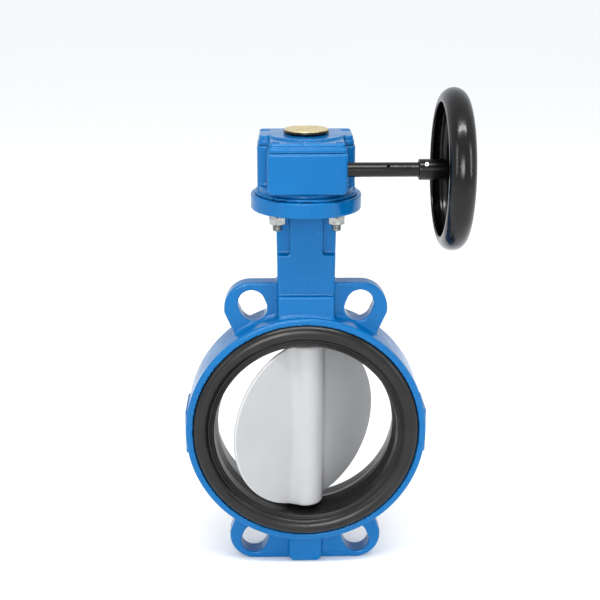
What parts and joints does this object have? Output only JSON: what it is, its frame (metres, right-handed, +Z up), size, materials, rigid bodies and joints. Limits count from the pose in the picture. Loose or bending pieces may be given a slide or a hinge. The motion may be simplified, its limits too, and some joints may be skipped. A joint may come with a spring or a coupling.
{
  "type": "butterfly valve",
  "caption": "Wafer butterfly valve with a rubber-lined bore, a worm gear operator and a handwheel, part open.",
  "frame": {"origin": "centre of the flat base under the lower stem boss, on the stem's axis", "axes": "+Z up along the stem, +Y along the flow (the pictured face looks along -Y), +X towards the handwheel"},
  "size_m": [0.2358, 0.1475, 0.4361],
  "materials": {
    "blue_paint": "gloss enamel over cast iron",
    "rubber": "moulded EPDM, satin",
    "disc_coating": "light grey coating on cast iron, matt",
    "stainless": "turned",
    "zinc": "bright zinc plate",
    "black_paint": "gloss enamel on steel",
    "brass": "polished",
    "bronze": "machined bronze",
    "cast_iron": "machined ductile iron",
    "ptfe": "plain PTFE",
    "gasket": "fibre gasket sheet"
  },
  "bodies": {
    "valve": {"base_gasket": "gasket", "cover_gasket": "gasket", "cover_screw_1": "blue_paint", "cover_screw_2": "blue_paint", "cover_screw_3": "blue_paint", "cover_screw_4": "blue_paint", "flange_nut_1": "zinc", "flange_nut_2": "zinc", "flange_nut_3": "zinc", "flange_nut_4": "zinc", "flange_stud_1": "zinc", "flange_stud_2": "zinc", "flange_stud_3": "zinc", "flange_stud_4": "zinc", "flange_washer_1": "zinc", "flange_washer_2": "zinc", "flange_washer_3": "zinc", "flange_washer_4": "zinc", "gearbox_cover": "blue_paint", "gearbox_housing": "blue_paint", "input_shaft_seal": "rubber", "lower_bush": "ptfe", "middle_bush": "ptfe", "packing_washer": "zinc", "retaining_ring": "zinc", "seat_liner": "rubber", "stem_oring_1": "rubber", "stem_oring_2": "rubber", "stem_packing": "rubber", "stop_locknut_closed": "zinc", "stop_locknut_open": "zinc", "stop_screw_closed": "zinc", "stop_screw_open": "zinc", "thrust_washer_inner": "bronze", "thrust_washer_outer": "bronze", "upper_bush": "ptfe", "valve_body": "blue_paint", "worm_bush_inner": "bronze", "worm_bush_outer": "bronze", "worm_end_plug": "zinc"},
    "stem_and_disc": {"disc": "disc_coating", "stem": "stainless", "stem_key": "stainless", "worm_wheel": "cast_iron", "indicator_cap": "black_paint", "indicator_plate": "brass"},
    "input_drive": {"worm_shaft": "black_paint", "handwheel": "black_paint", "handwheel_pin": "zinc"}
  },
  "joints": [
    {"name": "handwheel_turn", "type": "hinge", "parent": "valve", "child": "input_drive", "pos_m": [0, -0.031, 0.3696], "axis": [1, 0, 0], "range_deg": [-1080, 1620]},
    {"name": "stem_turn", "type": "hinge", "parent": "valve", "child": "stem_and_disc", "pos_m": [0, 0, 0.133], "axis": [0, 0, 1], "range_deg": [-36, 54]}
  ],
  "couplings": [
    {"joint": "stem_turn", "follows": "handwheel_turn", "ratio": 0.033333}
  ]
}
